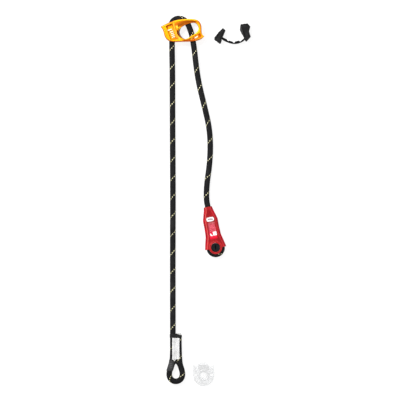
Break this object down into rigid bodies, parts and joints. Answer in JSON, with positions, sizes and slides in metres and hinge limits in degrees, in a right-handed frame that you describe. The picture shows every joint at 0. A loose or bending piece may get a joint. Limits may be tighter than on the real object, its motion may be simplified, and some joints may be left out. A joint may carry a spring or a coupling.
{
  "type": "rope grab lanyard",
  "caption": "Adjustable rope lanyard: a forged adjuster on a black rope with a sewn eye at one end and a sleeved eye at the other, plus a clear keeper and a notched strap.",
  "frame": {"origin": "middle of the adjuster's connector hole, on its back face, which lies on the surface", "axes": "+Z away from the surface, through the connector hole; +Y up the rope from the sewn ends to the adjuster; +X from the tail strand to the harness strand"},
  "size_m": [0.1751, 0.7196, 0.024],
  "materials": {
    "anodised_alloy": "gloss yellow-orange anodised",
    "rope_sheath": "black braid with a pale tracer",
    "white_thread": "dense stitching",
    "shrink_band": "satin black",
    "rope_core": "melted core",
    "marking_sleeve": "matte",
    "red_sleeve": "soft translucent",
    "label": "printed film",
    "badge": "white",
    "black_rubber": "moulded",
    "clear_plastic": "clear, slightly frosted"
  },
  "bodies": {
    "rope": {"rope_bight": "rope_sheath", "tail_strand": "rope_sheath", "harness_strand": "rope_sheath"},
    "adjuster": {"adjuster_frame": "anodised_alloy"},
    "tail_end": {"tail_eye_rope": "rope_sheath", "tail_stitching": "white_thread", "tail_seam_band": "shrink_band", "tail_cut_end": "rope_core", "tail_marking_sleeve": "marking_sleeve"},
    "harness_end": {"harness_eye_rope": "rope_sheath", "harness_stitching": "white_thread", "harness_seam_band": "shrink_band", "harness_label": "label", "protective_sleeve": "red_sleeve", "sleeve_badge": "badge", "connector_retainer": "black_rubber"},
    "clear_keeper": {"clear_keeper": "clear_plastic"},
    "strap_keeper": {"notched_strap": "black_rubber", "small_boot": "black_rubber", "large_boot": "black_rubber"}
  },
  "joints": [
    {"name": "adjuster_tilt", "type": "hinge", "parent": "rope", "child": "adjuster", "pos_m": [-0.0194, 0.01, 0.0109], "axis": [0, 0, 1], "range_deg": [-6, 6]},
    {"name": "tail_feed", "type": "slide", "parent": "rope", "child": "tail_end", "axis": [0, -1, 0], "range_m": [-0.3, 0.2], "deforming": ["tail_strand"]},
    {"name": "harness_feed", "type": "slide", "parent": "rope", "child": "harness_end", "axis": [0.0878, -0.9961, 0], "range_m": [-0.2, 0.3], "deforming": ["harness_strand"]},
    {"name": "keeper_lift", "type": "slide", "parent": "rope", "child": "clear_keeper", "axis": [0, 0, 1], "range_m": [0, 0.05]},
    {"name": "strap_lift", "type": "slide", "parent": "rope", "child": "strap_keeper", "axis": [0, 0, 1], "range_m": [0, 0.05]}
  ],
  "couplings": [
    {"joint": "harness_feed", "follows": "tail_feed", "ratio": -1}
  ]
}
